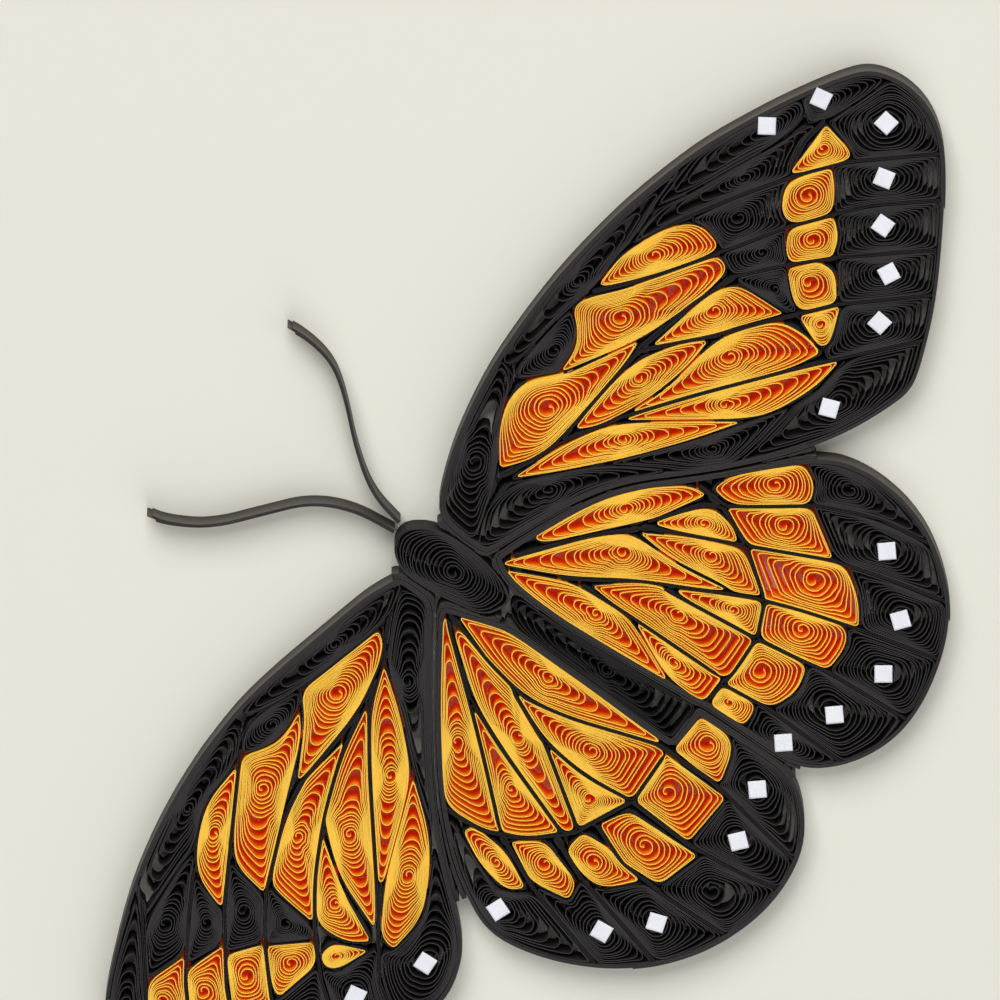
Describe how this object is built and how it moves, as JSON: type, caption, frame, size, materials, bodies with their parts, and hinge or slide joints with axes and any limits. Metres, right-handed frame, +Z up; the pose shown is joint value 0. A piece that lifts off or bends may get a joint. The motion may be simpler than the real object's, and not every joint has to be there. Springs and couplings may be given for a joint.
{
  "type": "quilled paper butterfly",
  "caption": "Open-winged butterfly made of rolled and pinched paper strips standing on edge, with orange cells, black wing edges and veins, white squares and two antennae.",
  "frame": {"origin": "underside of the thorax coil, on the paper just beside its open eye", "axes": "+Z up from the table through the strips, +Y towards the head and antennae, +X towards the tip of the right forewing"},
  "size_m": [0.1296, 0.0752, 0.0034],
  "materials": {
    "orange_paper": "matte",
    "black_paper": "matte",
    "white_paper": "matte"
  },
  "bodies": {
    "root": {"abdomen_coil": "black_paper", "antenna_left": "black_paper", "antenna_right": "black_paper", "left_fore_band_coils": "orange_paper", "left_fore_dark_coils": "black_paper", "left_fore_edge": "black_paper", "left_fore_orange_coil_a": "orange_paper", "left_fore_orange_coil_b": "orange_paper", "left_fore_orange_coil_c": "orange_paper", "left_fore_orange_coil_d": "orange_paper", "left_fore_orange_coil_e": "orange_paper", "left_fore_orange_coil_f": "orange_paper", "left_fore_orange_coil_g": "orange_paper", "left_fore_orange_coil_h": "orange_paper", "left_fore_rim_coils": "black_paper", "left_fore_veins": "black_paper", "left_fore_white_squares": "white_paper", "left_hind_band_coils": "orange_paper", "left_hind_edge": "black_paper", "left_hind_orange_coil_a": "orange_paper", "left_hind_orange_coil_b": "orange_paper", "left_hind_orange_coil_c": "orange_paper", "left_hind_orange_coil_d": "orange_paper", "left_hind_orange_coil_e": "orange_paper", "left_hind_orange_coil_f": "orange_paper", "left_hind_rim_coils": "black_paper", "left_hind_veins": "black_paper", "left_hind_white_squares": "white_paper", "right_fore_band_coils": "orange_paper", "right_fore_dark_coils": "black_paper", "right_fore_edge": "black_paper", "right_fore_orange_coil_a": "orange_paper", "right_fore_orange_coil_b": "orange_paper", "right_fore_orange_coil_c": "orange_paper", "right_fore_orange_coil_d": "orange_paper", "right_fore_orange_coil_e": "orange_paper", "right_fore_orange_coil_f": "orange_paper", "right_fore_orange_coil_g": "orange_paper", "right_fore_orange_coil_h": "orange_paper", "right_fore_rim_coils": "black_paper", "right_fore_veins": "black_paper", "right_fore_white_squares": "white_paper", "right_hind_band_coils": "orange_paper", "right_hind_edge": "black_paper", "right_hind_orange_coil_a": "orange_paper", "right_hind_orange_coil_b": "orange_paper", "right_hind_orange_coil_c": "orange_paper", "right_hind_orange_coil_d": "orange_paper", "right_hind_orange_coil_e": "orange_paper", "right_hind_orange_coil_f": "orange_paper", "right_hind_orange_coil_g": "orange_paper", "right_hind_orange_coil_h": "orange_paper", "right_hind_rim_coils": "black_paper", "right_hind_veins": "black_paper", "right_hind_white_squares": "white_paper", "thorax_coil": "black_paper"}
  },
  "joints": []
}
